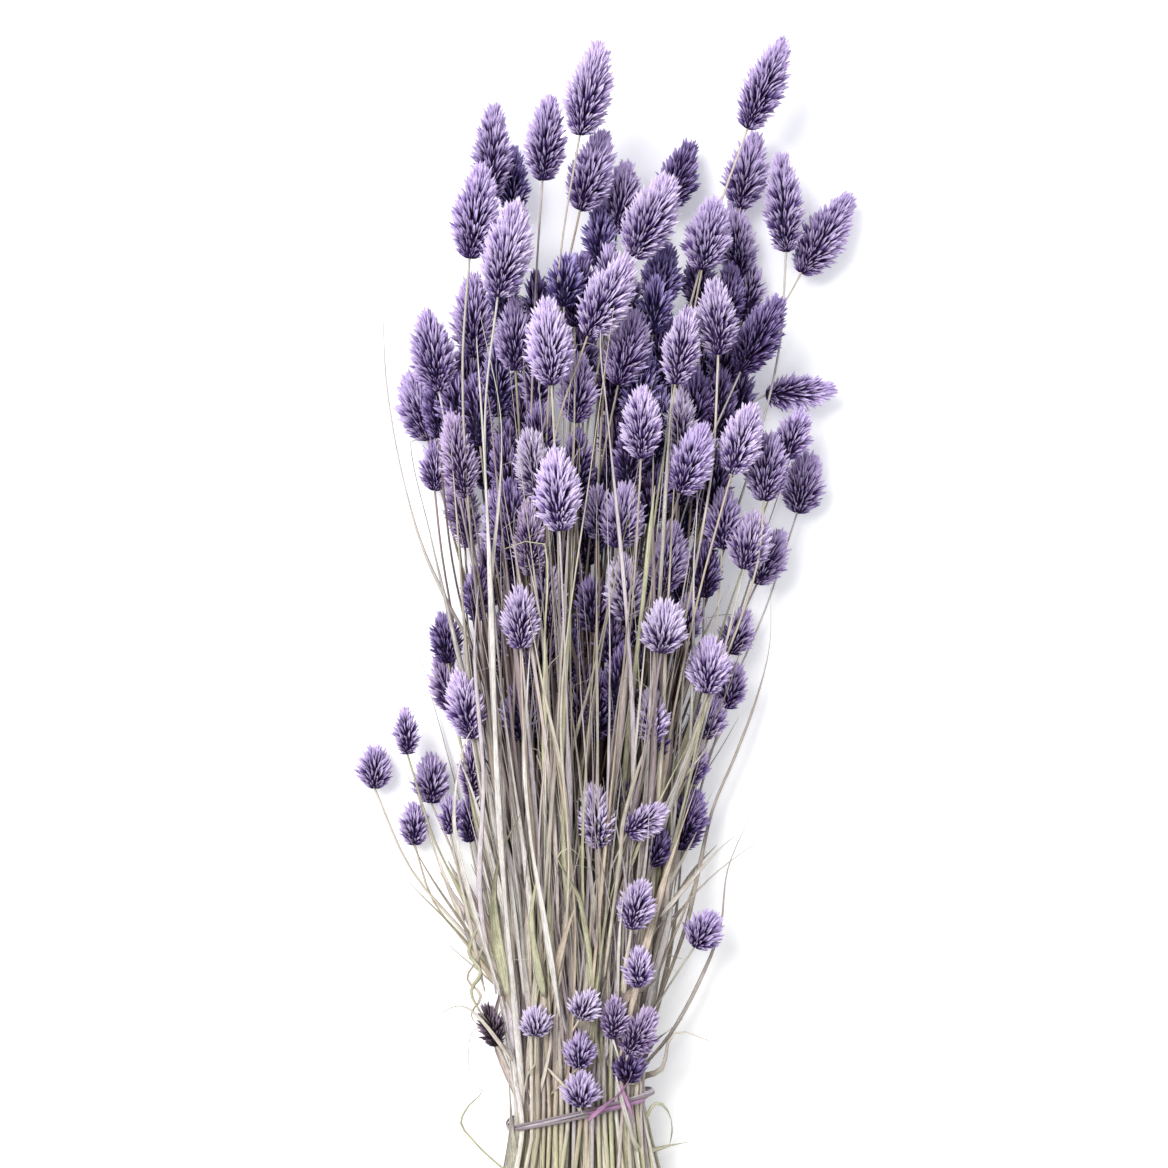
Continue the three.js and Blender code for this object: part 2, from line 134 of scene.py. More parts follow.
# Loose blades: half width in mm and colour, then points of the way as distances in mm along the bunch from
# the tie, to its right and above the table.
MORE_BLADES = [
    (1.3, "white", (60, -28, 44), (235, -44, 66), (340, -38, 78), (395, -48, 82)),
    (1.2, "lilac", (80, -16, 48), (268, -32, 74), (318, -40, 84)),
    (1.0, "straw", (70, 10, 48), (290, 8, 86), (346, 10, 90)),
    (1.3, "straw", (25, -34, 30), (48, -52, 30), (52, -62, 24), (44, -75, 16)),
    (1.0, "grey", (30, -36, 24), (40, -52, 20), (24, -57, 12), (8, -55, 4)),
    (0.8, "green", (-40, -30, 14), (-26, -48, 8), (-18, -56, 6), (-11, -61, 5), (-2, -57, 5), (6, -50, 6),
     (8, -56, 7)),
    (1.3, "green", (-8, 32, 26), (4, 38, 30), (0, 44, 26), (-12, 47, 14), (-22, 46, 4)),
    (1.6, "white", (20, 18, 43), (0, 23, 42), (-16, 28, 36), (-21, 33, 26), (-21, 46, 12), (-20, 60, 4)),
    (3.2, "dusk", (18, 26, 30), (34, 36, 32), (40, 44, 30), (46, 52, 26)),
    (2.4, "dusk", (40, 18, 42), (60, 24, 43), (64, 32, 40), (69, 40, 36)),
    (5.2, "white", (-66, -36, 24), (-30, -35, 34), (0, -35, 37), (22, -36, 34)),
    (1.5, "grey", (100, 40, 46), (130, 66, 44), (137, 74, 42), (140, 78, 42)),
    (1.4, "straw", (90, -58, 20), (130, -74, 12), (160, -84, 8), (170, -90, 6)),
    (1.5, "white", (60, -40, 40), (120, -58, 38), (150, -63, 36), (185, -58, 38), (198, -50, 40)),
    (1.1, "green", (95, -50, 28), (80, -56, 28), (70, -50, 32), (60, -55, 28), (50, -50, 30), (44, -46, 28)),
    (1.0, "cream", (88, -47, 30), (76, -52, 30), (66, -57, 26), (58, -50, 30), (48, -55, 26), (40, -50, 24)),
    (2.1, "green", (50, 8, 46), (107, 1, 57), (131, -11, 63), (134, -9, 65), (136, -5, 65), (130, 1, 63)),
    (3.0, "green", (60, -36, 44), (104, -43, 50), (130, -40, 55), (153, -29, 60)),
    (1.7, "white", (50, -10, 46), (103, -18, 58), (140, -24, 63), (182, -27, 67), (240, -24, 72)),
    (2.6, "green", (60, -18, 46), (76, -21, 52), (100, -24, 56), (122, -21, 58)),
    (1.5, "lilac", (60, -42, 36), (110, -50, 42), (170, -48, 50), (230, -52, 56), (265, -50, 60)),
    (1.6, "cream", (70, 12, 48), (130, 20, 60), (150, 22, 62), (190, 34, 60), (225, 46, 56)),
    (2.4, "tan", (30, 20, 42), (90, 34, 48), (128, 45, 48), (165, 58, 44)),
    (1.2, "straw", (60, -48, 28), (120, -62, 26), (143, -70, 22), (150, -75, 20)),
    (1.8, "pink", (-2, 4, 44), (4, 10, 45), (12, 20, 44), (20, 26, 40)),
    (1.2, "pink", (16, 20, 43), (6, 24, 43), (-6, 28, 38)),
    (1.0, "cream", (24, -16, 43), (8, -2, 45), (0, 2, 45)),
]


def place(along, side, height):
    """A point of the bunch in metres, from distances in mm measured from under the tie."""
    return Vector((TIE_MIDDLE.x + side * MM, TIE_MIDDLE.y + along * MM, height * MM))


def blend(a, b, share):
    return a + (b - a) * share


def turned(x, y, angle):
    return x * math.cos(angle) - y * math.sin(angle), x * math.sin(angle) + y * math.cos(angle)


def ease(share):
    """0 to 1 with a soft start and a soft end."""
    share = min(1.0, max(0.0, share))
    return share * share * (3 - 2 * share)


# ---------------------------------------------------------------------------------------------------------
# Materials

class Value:
    """A node's output on which Python's arithmetic adds Math nodes."""

    def __init__(self, paint, socket):
        self.paint = paint
        self.socket = socket

    def math(self, operation, a, b):
        return self.paint.value("ShaderNodeMath", {"operation": operation}, {0: a, 1: b})

    def __add__(self, other):
        return self.math("ADD", self, other)

    def __sub__(self, other):
        return self.math("SUBTRACT", self, other)

    def __rsub__(self, other):
        return self.math("SUBTRACT", other, self)

    def __mul__(self, other):
        return self.math("MULTIPLY", self, other)

    __radd__ = __add__
    __rmul__ = __mul__


class Paint:
    """One material, built node by node."""

    def __init__(self, name):
        self.material = bpy.data.materials.new(name)
        self.material.use_nodes = True
        self.tree = self.material.node_tree
        self.shader = self.tree.nodes["Principled BSDF"]

    def node(self, kind, settings=None, inputs=None):
        node = self.tree.nodes.new(kind)
        for name, setting in (settings or {}).items():
            setattr(node, name, setting)
        self.feed(node, inputs or {})
        return node

    def feed(self, node, inputs):
        for name, value in inputs.items():
            if isinstance(value, Value):
                self.tree.links.new(value.socket, node.inputs[name])
            else:
                node.inputs[name].default_value = value

    def value(self, kind, settings=None, inputs=None, output=0):
        return Value(self, self.node(kind, settings, inputs).outputs[output])

    def attribute(self, name, output="Color"):
        return self.value("ShaderNodeAttribute", {"attribute_name": name}, output=output)

    def mix(self, share, a, b, how="MIX"):
        settings = {"data_type": "RGBA", "blend_type": how}
        node = self.node("ShaderNodeMix", settings)
        self.feed(node, {0: share, 6: a, 7: b})
        return Value(self, node.outputs[2])

    def parts(self, colour):
        node = self.node("ShaderNodeSeparateColor", inputs={0: colour})
        return [Value(self, output) for output in node.outputs]

    def noise(self, where, scale, detail=2.0, roughness=0.5):
        return self.value("ShaderNodeTexNoise", inputs={
            "Vector": where, "Scale": scale, "Detail": detail, "Roughness": roughness})

    def stretched(self, where, scale):
        return self.value("ShaderNodeVectorMath", {"operation": "MULTIPLY"}, {0: where, 1: scale})

    def range(self, value, low, high, to_low=0.0, to_high=1.0):
        return self.value("ShaderNodeMapRange", {"clamp": True}, {
            "Value": value, "From Min": low, "From Max": high, "To Min": to_low, "To Max": to_high})

    def bump(self, height, strength, distance):
        return self.value("ShaderNodeBump", inputs={
            "Height": height, "Strength": strength, "Distance": distance})

    def place_on_piece(self):
        return self.value("ShaderNodeTexCoord", output="Object")


def dyed_scales():
    """Papery scales: painted shade where they are tucked in and on the head's core, dyed along their length,
    pale on keel and tip.
    """
    paint = Paint("dyed_scales")
    along, edge, chance = paint.parts(paint.attribute("scale"))
    tip_start = paint.parts(paint.attribute("dye_tip"))[0] + paint.attribute("scale", "Alpha") - 0.5
    deep = paint.attribute("painted_shade_of_dye")
    middle = paint.attribute("dye_middle")
    pale = paint.attribute("dye_pale")
    where = paint.place_on_piece()
    blotch = paint.noise(where, 260.0, 2.0)
    fibre = paint.noise(where, 1900.0, 2.0)
    # Painted shade: each scale darkens toward its foot, where it is tucked in among the others.
    body = paint.mix(paint.range(along, 0.24, 0.70), deep, middle)
    reach = along * 0.90 + edge * 0.30 + (chance - 0.5) * 0.30 + (blotch - 0.5) * 0.34
    fade = paint.range(reach - tip_start, 0.02, 0.36)
    colour = paint.mix(fade * 0.94, body, pale)
    streaks = paint.range(fibre, 0.35, 0.7, 0.78, 1.12)
    colour = paint.mix(1.0, colour, streaks, "MULTIPLY")
    paint.feed(paint.shader, {
        "Base Color": colour,
        "Roughness": paint.range(fibre, 0.3, 0.7, 0.62, 0.86),
        "Normal": paint.bump(fibre, 0.35, 0.0002)})
    paint.shader.inputs["Specular IOR Level"].default_value = 0.3
    return paint.material


def dry_straw():
    """Stem, sheath and blade: long fine veins, some darker flecks, a little shine on the ribs, and painted
    shade along their sides.
    """
    paint = Paint("dry_straw")
    tint = paint.attribute("straw")
    # The alpha says how far to the side of a stalk a point lies, for painted shade on the sides.
    painted_side_shade = paint.attribute("straw", "Alpha")
    grain = paint.attribute("grain", "Vector")
    veins = paint.noise(paint.stretched(grain, (0.6, 9.0, 1.0)), 2.2, 2.0, 0.6)
    flecks = paint.noise(paint.stretched(grain, (2.4, 3.0, 1.0)), 1.7, 3.0, 0.6)
    vein = paint.range(veins, 0.32, 0.66, 0.46, 1.16)
    fleck = paint.range(flecks, 0.60, 0.78, 1.0, 0.62)
    # Veins and flecks, times painted shade that darkens the sides of stems and the edges of blades.
    shade = vein * fleck * paint.range(painted_side_shade + (flecks - 0.5) * 0.5, 0.55, 1.05, 1.06, 0.62)
    stained = paint.mix(paint.range(flecks, 0.42, 0.66, 0.0, 0.5), tint,
                        paint.mix(1.0, tint, (0.80, 0.66, 0.50, 1), "MULTIPLY"))
    paint.feed(paint.shader, {
        "Base Color": paint.mix(1.0, stained, shade, "MULTIPLY"),
        "Roughness": paint.range(veins, 0.3, 0.7, 0.78, 0.52),
        "Normal": paint.bump(veins, 0.5, 0.0003)})
    paint.shader.inputs["Specular IOR Level"].default_value = 0.4
    return paint.material


def tie_fibre():
    """The tie's strands: dyed fibre with lengthwise threads, worn pale in places."""
    paint = Paint("tie_fibre")
    grain = paint.attribute("grain", "Vector")
    threads = paint.noise(paint.stretched(grain, (0.5, 14.0, 1.0)), 2.0, 3.0, 0.6)
    worn = paint.noise(paint.stretched(grain, (1.6, 1.0, 1.0)), 1.9, 2.0)
    shade = paint.range(threads, 0.3, 0.7, 0.45, 1.05)
    colour = paint.mix(1.0, paint.attribute("straw"), shade, "MULTIPLY")
    colour = paint.mix(paint.range(worn, 0.5, 0.7, 0.0, 0.55), colour, (0.34, 0.24, 0.34, 1))
    paint.feed(paint.shader, {
        "Base Color": colour,
        "Roughness": paint.range(threads, 0.3, 0.7, 0.8, 0.55),
        "Normal": paint.bump(threads, 0.6, 0.0004)})
    return paint.material


def pale_table():
    """A matte white table top, a breath cooler on one side."""
    paint = Paint("pale_table")
    where = paint.place_on_piece()
    across = paint.noise(where, 1.1, 1.0)
    colour = paint.mix(paint.range(across, 0.35, 0.65), (0.94, 0.94, 0.95, 1), (0.95, 0.945, 0.93, 1))
    paint.feed(paint.shader, {"Base Color": colour, "Roughness": paint.range(across, 0.3, 0.7, 0.9, 0.95)})
    paint.shader.inputs["Specular IOR Level"].default_value = 0.1
    paint.shader.inputs["Emission Color"].default_value = (0.93, 0.95, 1.0, 1)
    paint.shader.inputs["Emission Strength"].default_value = 0.28
    return paint.material


MATERIALS = {"straw": dry_straw(), "scales": dyed_scales(), "strand": tie_fibre()}
STRAW_SLOT, SCALES_SLOT = 0, 1


# ---------------------------------------------------------------------------------------------------------
# Building one piece

# The texture sheet of a culm: strips for its long parts at the bottom, a grid of scales above.
STRIP_HEIGHT = 0.055
STRIPS = {"stem": 0.005, "sheath": 0.065, "blade_0": 0.125, "blade_1": 0.185, "core": 0.245}
SCALE_COLUMNS, SCALE_ROWS = 8, 6
SCALES_BOTTOM = 0.31


class Piece:
    """A mesh being built, with the layers that its materials read."""

    def __init__(self):
        self.bm = bmesh.new()
        self.uv = self.bm.loops.layers.uv.new("OFBake")
        self.grain = self.bm.verts.layers.float_vector.new("grain")
        self.straw = self.bm.verts.layers.float_color.new("straw")
        self.scale = self.bm.verts.layers.float_color.new("scale")

    def add(self, mesh):
        """Adds a small mesh and gives back its vertices and faces."""
        verts, faces = len(self.bm.verts), len(self.bm.faces)
        self.bm.from_mesh(mesh)
        self.bm.verts.ensure_lookup_table()
        self.bm.faces.ensure_lookup_table()
        return self.bm.verts[verts:], self.bm.faces[faces:]

    def finish(self, name, materials, dye=None):
        for vert in self.bm.verts:
            vert.co.z = max(vert.co.z, 0.05 * MM)
        mesh = bpy.data.meshes.new(name)
        self.bm.to_mesh(mesh)
        self.bm.free()
        for material in materials:
            mesh.materials.append(MATERIALS[material])
        for layer, colour in (dye or {}).items():
            mesh.attributes.new(layer, "FLOAT_COLOR", "POINT").data.foreach_set(
                "color", [*colour, 1] * len(mesh.vertices))
        piece = bpy.data.objects.new(name, mesh)
        bpy.context.scene.collection.objects.link(piece)
        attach(piece, "root")
        return piece


def smooth_route(points, step):
    """Points about a step apart on a smooth curve through the given ones."""
    last = len(points) - 1
    headings = [(points[min(i + 1, last)] - points[max(i - 1, 0)]).normalized() for i in range(last + 1)]
    route = []
    for i in range(last):
        start, end = points[i], points[i + 1]
        length = (end - start).length
        count = max(1, round(length / step))
        handles = start + headings[i] * length / 3, end - headings[i + 1] * length / 3
        route += interpolate_bezier(start, *handles, end, count + 1)[:-1]
    return route + [points[-1]]


def headings_of(route):
    last = len(route) - 1
    return [(route[min(i + 1, last)] - route[max(i - 1, 0)]).normalized() for i in range(last + 1)]


def run_of(route):
    """Length from the start to each point of a route."""
    run = [0.0]
    for before, after in zip(route, route[1:]):
        run.append(run[-1] + (after - before).length)
    return run


BLANKS = {}                # straight bars by their number of sides and rings


def blank_bar(sides, rings):
    """A straight closed bar one unit long, with its rings of points evenly spaced."""
    if (sides, rings) not in BLANKS:
        bm = bmesh.new()
        bmesh.ops.create_cone(bm, cap_ends=True, segments=sides, radius1=1, radius2=1, depth=1)
        lengthwise = [edge for edge in bm.edges if abs(edge.verts[0].co.z - edge.verts[1].co.z) > 0.5]
        bmesh.ops.subdivide_edges(bm, edges=lengthwise, cuts=rings - 2)
        for face in bm.faces:
            face.smooth = len(face.verts) == 4
        mesh = bpy.data.meshes.new("blank_bar")
        bm.to_mesh(mesh)
        bm.free()
        BLANKS[sides, rings] = mesh
    return BLANKS[sides, rings]


def bar_along(piece, route, sides, section, tint, strip, seed, outward=lambda index: UP):
    """A closed bar along a route.

    section(index, x, y) turns a point of a unit circle into distances across and above the route there,
    tint(index) gives the straw's colour, and outward(index) the way that is above."""
    last = len(route) - 1
    verts, faces = piece.add(blank_bar(sides, last + 1))
    headings = headings_of(route)
    run = run_of(route)
    around = {}
    for vert in verts:
        index = round((vert.co.z + 0.5) * last)
        x, y = vert.co.x, vert.co.y
        along = headings[index]
        across = along.cross(outward(index))
        across = across.normalized() if across.length > 0.1 else Vector((1, 0, 0))
        above = across.cross(along)
        wide, high = section(index, x, y)
        turn = math.atan2(y, x) / math.tau % 1.0
        around[vert] = (run[index] / run[-1], turn)
        vert[piece.grain] = Vector((run[index] * 100, turn * 3, seed))
        # The alpha is how far to the side the point lies, darkened by the straw material as painted shade.
        vert[piece.straw] = Vector((*tint(index), abs(x)))
        vert.co = route[index] + across * wide + above * high
    bottom = STRIPS[strip]
    for face in faces:
        turns = [around[loop.vert][1] for loop in face.loops]
        wraps = max(turns) - min(turns) > 0.5 and len(face.verts) == 4
        for loop, turn in zip(face.loops, turns):
            turn = turn + 1 if wraps and turn < 0.5 else turn
            loop[piece.uv].uv = (around[loop.vert][0], bottom + STRIP_HEIGHT * turn)
        face.material_index = STRAW_SLOT


def sheath(piece, route, radius, tint, seed):
    """The leaf's foot, wrapped round the stem, gaping above its middle and drawn out to a point."""
    last = len(route) - 1

    def section(index, x, y):
        share = index / last
        size = radius * blend(0.75, 1.3, ease(share * 2.5)) * (1 - 0.75 * ease((share - 0.6) / 0.4))
        return x * size * (1 + 0.35 * share), y * size

    bar_along(piece, route, 8, section, lambda index: shaded(tint, route[index]), "sheath", seed)


def blade(piece, route, half_width, dice, tint, strip, seed):
    """A dried blade: folded along its midrib, slowly twisted, its edges rolled in, its tip drawn out."""
    last = len(route) - 1
    run = run_of(route)
    fold = dice.uniform(-0.9, 1.3)
    twist = dice.uniform(-2.2, 2.2)
    start_turn = dice.uniform(-0.5, 0.5)
    wave = dice.uniform(0, math.tau)
    roll = dice.uniform(0.0, 0.6)

    def section(index, x, y):
        share = index / last
        width = half_width * min(1, 0.45 + 4 * share, 0.12 + 2.4 * (1 - share))
        width *= 0.82 + 0.18 * math.sin(wave * 3 + run[index] / (17 * MM))
        width *= 1 - roll * 0.5 * (1 + math.sin(wave + share * 9)) * ease(share)
        turn = start_turn + twist * share + 0.25 * math.sin(wave + share * 6)
        crease = fold * (1 - 0.6 * roll) * (abs(x) - 0.4) * width
        wide, high = x * width, y * BLADE_THICKNESS / 2 + crease
        aside, above = turned(wide, high, turn)
        return aside, max(above, 0.1 * MM - route[index].z)

    def colour(index):
        return shaded(tint, route[index]) * tones[index]

    tones = [dice.uniform(0.88, 1.06) for _ in route]
    bar_along(piece, route, 8, section, colour, strip, seed)


# ---------------------------------------------------------------------------------------------------------
# Seed heads

SPIKELET_SHAPE = (0.14, 0.255, 0.05)   # thickness, width and curve towards the axis, as shares of length
SPIKELETS_PER_MM2 = 0.66               # of the head's length times its width
SPLAY = (72, 14)                       # degrees from the head's axis, at its base and at its tip
SPIKELET_SIZE = (0.62, 1.12)           # at the base of the head, and from its middle up
# Painted shade: the core takes the darkest colour of the scales, so the gaps between spikelets show dark.
CORE_IN_PAINTED_SHADE = Vector((0.12, 0, 0.5, 0.9))   # the core, as if it were the foot of a scale


def make_spikelet(row, column):
    """One spikelet, one unit long along +Z from its root: a thin keeled boat with a drawn-out tip. Its row
    goes up the head, and its column is one of several chances."""
    bm = bmesh.new()
    uv = bm.loops.layers.uv.new("OFBake")
    scale = bm.verts.layers.float_color.new("scale")
    chance = (column * 5 + row * 3) % SCALE_COLUMNS / (SCALE_COLUMNS - 1)
    tip_shift = 0.06 - 0.16 * row / (SCALE_ROWS - 1)
    thickness, breadth, curve = SPIKELET_SHAPE
    bmesh.ops.create_uvsphere(bm, u_segments=4, v_segments=4, radius=0.5)
    turns = {}
    for vert in bm.verts:
        share = vert.co.z + 0.5
        narrow = 1.25 - 0.85 * share
        x, y = vert.co.x * narrow, vert.co.y * narrow
        turns[vert] = math.atan2(vert.co.x, vert.co.y) / math.tau % 1.0
        vert[scale] = Vector((share, abs(y) * 2, chance, tip_shift + 0.5))
        vert.co = Vector((x * thickness, y * breadth - curve * share * share, share))
    left = column / SCALE_COLUMNS
    bottom = SCALES_BOTTOM + (1 - SCALES_BOTTOM) * row / SCALE_ROWS
    width, height = 0.9 / SCALE_COLUMNS, 0.9 * (1 - SCALES_BOTTOM) / SCALE_ROWS
    for face in bm.faces:
        face.material_index = SCALES_SLOT
        face.smooth = False
        wraps = max(turns[vert] for vert in face.verts) - min(turns[vert] for vert in face.verts) > 0.5
        for loop in face.loops:
            turn = turns[loop.vert] + (1 if wraps and turns[loop.vert] < 0.5 else 0)
            loop[uv].uv = (left + width * turn / 1.25, bottom + height * loop.vert.co.z)
    mesh = bpy.data.meshes.new("spikelet")
    bm.to_mesh(mesh)
    bm.free()
    return mesh


SPIKELETS = [[make_spikelet(row, column) for column in range(SCALE_COLUMNS)] for row in range(SCALE_ROWS)]


def core_radius(share):
    """Half width of the head's solid core, as a share of its greatest, from base to tip."""
    return math.sin(math.pi * min(1, max(0, share)) ** 0.72) ** 0.75


def make_core():
    """The solid middle of a head, dark as painted shade between the spikelets, one unit long along +Z and one
    unit in half width.
    """
    bm = bmesh.new()
    uv = bm.loops.layers.uv.new("OFBake")
    scale = bm.verts.layers.float_color.new("scale")
    bmesh.ops.create_uvsphere(bm, u_segments=8, v_segments=7, radius=1)
    for vert in bm.verts:
        share = (vert.co.z + 1) / 2
        flat = Vector((vert.co.x, vert.co.y, 0))
        flat = flat.normalized() * core_radius(share) if flat.length > 0.01 else flat
        vert[scale] = CORE_IN_PAINTED_SHADE
        vert.co = flat + UP * share
    for face in bm.faces:
        face.material_index = SCALES_SLOT
        for loop in face.loops:
            at = loop.vert.co
            loop[uv].uv = (0.02 + 0.9 * at.z, STRIPS["core"] + 0.03 + 0.02 * at.x)
    mesh = bpy.data.meshes.new("head_core")
    bm.to_mesh(mesh)
    bm.free()
    return mesh


CORE = make_core()


def seed_head(piece, base, axis, length, half_width, dice, fullness=1.0):
    """An egg-shaped head: spikelets in a spiral, standing out at the base and closing up at the tip."""
    scale_length = min(8.2 * MM, 3.0 * MM + 0.5 * half_width) * dice.uniform(0.94, 1.06)
    core_half = half_width - scale_length * 0.62
    core_length = length - scale_length * 0.95
    start_turn = dice.uniform(0, math.tau)
    square = axis.to_track_quat("Z", "Y").to_matrix()
    verts, _ = piece.add(CORE)
    size = Matrix.Diagonal((core_half, core_half, core_length, 1))
    bmesh.ops.transform(piece.bm, matrix=Matrix.Translation(base) @ square.to_4x4() @ size, verts=verts)
    count = round(SPIKELETS_PER_MM2 * (length / MM) * (half_width * 2 / MM) * fullness)
    for number in range(count):
        share = (number + 0.5) / count
        share = blend(share, ease(share), 0.25)
        turn = start_turn + number * GOLDEN_ANGLE + dice.uniform(-0.14, 0.14)
        outward = square @ Vector((math.cos(turn), math.sin(turn), 0))
        splay = math.radians(blend(*SPLAY, share ** 1.5)) + dice.uniform(-0.24, 0.24)
        heading = axis * math.cos(splay) + outward * math.sin(splay)
        broad = outward * math.cos(splay) - axis * math.sin(splay)
        thin = broad.cross(heading)
        root = base + axis * core_length * share + outward * core_half * core_radius(share) * 0.86
        size = scale_length * blend(*SPIKELET_SIZE, ease(0.1 + share * 2)) * dice.uniform(0.8, 1.2)
        spin = Matrix.Rotation(dice.uniform(-0.6, 0.6), 3, heading)
        placing = Matrix.Identity(4)
        for column, way in enumerate((spin @ thin, spin @ broad, heading)):
            for row in range(3):
                placing[row][column] = way[row] * size
        placing.translation = root
        verts, _ = piece.add(SPIKELETS[min(SCALE_ROWS - 1, int(share * SCALE_ROWS))][number % SCALE_COLUMNS])
        bmesh.ops.transform(piece.bm, matrix=placing, verts=verts)


# ---------------------------------------------------------------------------------------------------------
# Where everything lies

def rings_of(node):
    """Middle and radius of each ring of a CAD stalk, from its cut end to its tip."""
    bm = bmesh.new()
    bm.from_mesh(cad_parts[node].data)
    bmesh.ops.remove_doubles(bm, verts=bm.verts, dist=1e-6)
    bm.verts.index_update()
    lowest = min(bm.verts, key=lambda vert: vert.co.y).co
    layer = [vert for vert in bm.verts if (vert.co - lowest).length < 4 * MM]
    seen = set(layer)
    rings = []
    while layer:
        middle = sum((vert.co for vert in layer), Vector()) / len(layer)
        rings.append((middle, max((vert.co - middle).length for vert in layer)))
        nearby = {edge.other_vert(vert) for vert in layer for edge in vert.link_edges} - seen
        layer = sorted(nearby, key=lambda vert: vert.index)
        seen |= nearby
    bm.free()
    return rings


HEAD_RINGS = 6             # rings of a CAD culm that belong to its seed head, with a closing point after


class Culm:
    """What a culm needs to be built: its stem's route, and its head's axis, size and dye."""

    def __init__(self, name, route, axis, length, half_width, dye, node=None):
        self.name = name
        self.route = route
        self.axis = axis
        self.length = length
        self.half_width = half_width
        self.dye = dye
        self.node = node


def culm_of_node(number, dye):
    node = f"culm_{number:02d}"
    rings = rings_of(node)
    tip = rings[-1][0]
    foot = len(rings) - HEAD_RINGS - 2
    base = rings[foot][0]
    points = [middle for middle, _ in rings[:foot + 1]]
    half_width = max(radius for _, radius in rings[foot + 1:])
    head = tip - base
    return Culm(f"{node}_grass", points, head.normalized(), head.length, half_width, dye, node)


SETTLING_ROUNDS, PARTING_ROUNDS = 80, 60


def inside_tie(slots, fixed, radius):
    """Moves the free slots apart within the tie's opening, around the fixed ones."""
    half_high = TIE_HIGH.z / 2 - STRAND_ROOM - radius
    half_wide = (TIE_HIGH.x - TIE_LOW.x) / 2 / math.cos(TIE_SLANT) - STRAND_ROOM - radius
    straight = half_wide - half_high
    for _ in range(SETTLING_ROUNDS):
        for i, slot in enumerate(slots):
            for j, other in enumerate(slots + fixed):
                gap = slot - other
                if i != j and 0 < gap.length < 2 * radius:
                    slot += gap.normalized() * (2 * radius - gap.length) * (0.5 if j < len(slots) else 1)
            nearest = Vector((max(-straight, min(straight, slot.x)), 0))
            reach = slot - nearest
            if reach.length > half_high:
                slot.xy = nearest + reach.normalized() * half_high
    return slots


def slot_point(slot):
    """The place in the tie's slanting plane of a slot measured across and up from its middle."""
    across = slot.x
    return TIE_MIDDLE + Vector((across * math.cos(TIE_SLANT), across * math.sin(TIE_SLANT), slot.y))


SQUEEZED = Vector((0, 6 * MM, 0))      # half the length that a stalk runs straight under the tie
FLARE = 1.22                           # how much wider than at the tie the cut ends stand
LOWEST_END, HIGHEST_END = 1.6 * MM, 44 * MM


def through_tie(slot):
    """A stalk's points from its cut end to just past the tie."""
    at = slot_point(slot)
    stray = noise.noise_vector(Vector((slot.x * 900, slot.y * 900, 1)))
    end = slot_point(slot * FLARE) + stray * 22 * MM
    end.y = TIE_MIDDLE.y - CUT_LENGTH + (slot.x + stray.z * 30 * MM) * 0.35
    end.z = min(max(end.z, LOWEST_END), HIGHEST_END)
    return [end, at - SQUEEZED, at + SQUEEZED]


NEIGHBOURS = 70 * MM                   # heads further apart than this can't touch
CLOSE_HEADS = 0.86                     # how near, in their own widths, two heads may press together


def part_heads(free, fixed):
    """Pushes the heads of the further culms out of each other and of the CAD culms' heads."""
    def spots(culm):
        return [(culm["base"] + culm["axis"] * culm["length"] * share, culm["half_width"] * wide)
                for share, wide in ((0.14, 0.62), (0.38, 0.86), (0.64, 0.72), (0.88, 0.36))]

    still = [spot for culm in fixed for spot in spots(culm)]
    for _ in range(PARTING_ROUNDS):
        for culm in free:
            others = still + [spot for other in free if other is not culm
                              and (other["base"] - culm["base"]).length < NEIGHBOURS for spot in spots(other)]
            push = Vector()
            for middle, radius in spots(culm):
                for other, other_radius in others:
                    gap = middle - other
                    room = (radius + other_radius) * CLOSE_HEADS
                    if gap.length < room:
                        gap.z += (1 if culm["base"].z > other.z else -1) * 0.3 * room
                        push += gap.normalized() * (room - (middle - other).length) * 0.25
            culm["base"] += push.normalized() * min(push.length, 3 * MM) if push.length > 0 else push
            low = min(point.z - radius for point, radius in spots(culm))
            culm["base"].z -= min(0, low - 0.5 * MM)


def planned(along, side, height, length, width, lean, dye):
    angle = math.radians(lean)
    axis = Vector((math.sin(angle), math.cos(angle), 0))
    return {"base": place(along, side, height) - axis * length * MM / 2, "axis": axis, "dye": dye,
            "length": length * MM, "half_width": width * MM / 2, "layer": height,
            "bearing": side / max(along, 40) + 0.09 * math.sin(along * 1.7 + side * 0.9)}


def hidden_plans(dice):
    """Culms whose heads fill the bunch from below, in the widening part of the fan."""
    plans = []
    for number in range(HIDDEN_CULMS):
        along = dice.uniform(200, 420)
        half = blend(44, 80, ease((along - 200) / 200))
        side = blend(-half, half, (number * 0.618) % 1) + 8
        height = dice.uniform(12, max(14, crown(along, side) - 20))
        # Mostly dark dyes, as painted shade for heads that lie under the others.
        plans.append(planned(along, side, height, dice.uniform(26, 40), dice.uniform(15, 20),
                             side * 0.12 + dice.uniform(-6, 6), dice.choice(("deep", "deep", "mid", "blue"))))
    return plans


def assign_slots(plans, taken):
    """Low culms take low slots of the tie, and those that lean left take left ones."""
    rows, row_reach = 7, 15.5
    ordered = sorted(plans, key=lambda plan: plan["layer"])
    per_row = math.ceil(len(ordered) / rows)
    slots = []
    for row in range(rows):
        members = sorted(ordered[row * per_row:(row + 1) * per_row], key=lambda plan: plan["bearing"])
        height = blend(-row_reach, row_reach, row / (rows - 1))
        chord = 18 + math.sqrt(max(0, 17 ** 2 - height ** 2))
        for number, plan in enumerate(members):
            plan["slot"] = Vector((blend(-chord, chord, (number + 0.5) / len(members)), height)) * MM
            slots.append(plan["slot"])
    inside_tie(slots, taken, 1.55 * MM)


